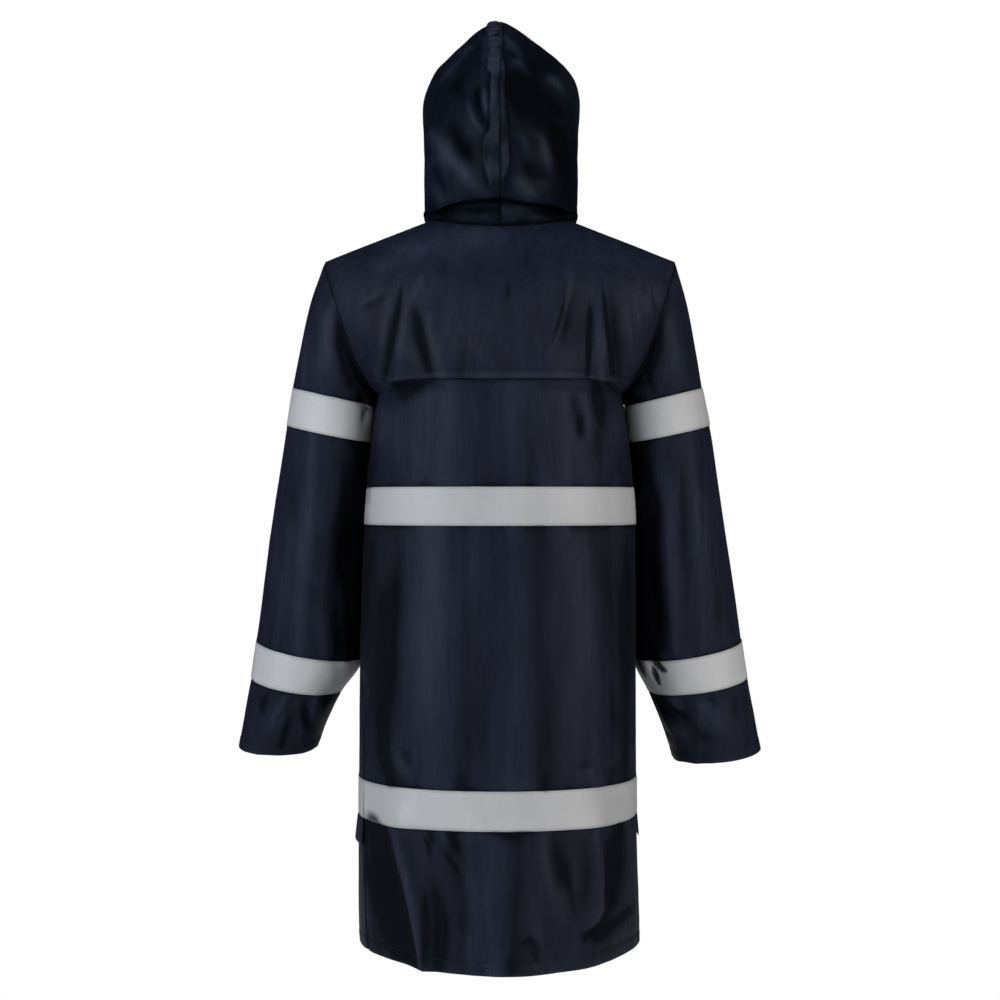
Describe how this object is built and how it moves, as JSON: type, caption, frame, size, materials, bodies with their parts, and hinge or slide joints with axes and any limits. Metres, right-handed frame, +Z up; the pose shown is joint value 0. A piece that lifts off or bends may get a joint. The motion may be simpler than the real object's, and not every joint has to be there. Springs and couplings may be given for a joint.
{
  "type": "hooded raincoat",
  "caption": "Long hooded raincoat with a free-hanging back yoke, filled out as worn, with reflective tapes round the body and the sleeves.",
  "frame": {"origin": "middle of the neck opening, at the height where the shoulder seams meet the neck", "axes": "+Z up the wearer, front faces -Y, back faces +Y, the wearer's left is +X"},
  "size_m": [0.7265, 0.4179, 1.2472],
  "materials": {
    "navy_cloth": "coated nylon with a soft sheen",
    "hood_cloth": "coated nylon with a soft sheen, darker",
    "reflective_tape": "light grey retroreflective tape",
    "stud_metal": "dark satin press stud"
  },
  "bodies": {
    "root": {"back_panel": "navy_cloth", "back_yoke": "navy_cloth", "front_left": "navy_cloth", "front_right": "navy_cloth", "storm_flap": "navy_cloth", "sleeve_left": "navy_cloth", "sleeve_right": "navy_cloth", "hood_left": "hood_cloth", "hood_right": "hood_cloth", "pocket_flap_left": "navy_cloth", "pocket_flap_right": "navy_cloth", "tape_chest_back": "reflective_tape", "tape_chest_front_left": "reflective_tape", "tape_chest_front_right": "reflective_tape", "tape_chest_flap": "reflective_tape", "tape_low_back": "reflective_tape", "tape_low_front_left": "reflective_tape", "tape_low_front_right": "reflective_tape", "tape_low_flap": "reflective_tape", "tape_upper_arm_left": "reflective_tape", "tape_upper_arm_right": "reflective_tape", "tape_lower_arm_left": "reflective_tape", "tape_lower_arm_right": "reflective_tape", "press_stud_1": "stud_metal", "press_stud_2": "stud_metal", "press_stud_3": "stud_metal", "press_stud_4": "stud_metal", "press_stud_5": "stud_metal", "press_stud_6": "stud_metal", "press_stud_7": "stud_metal"}
  },
  "joints": []
}
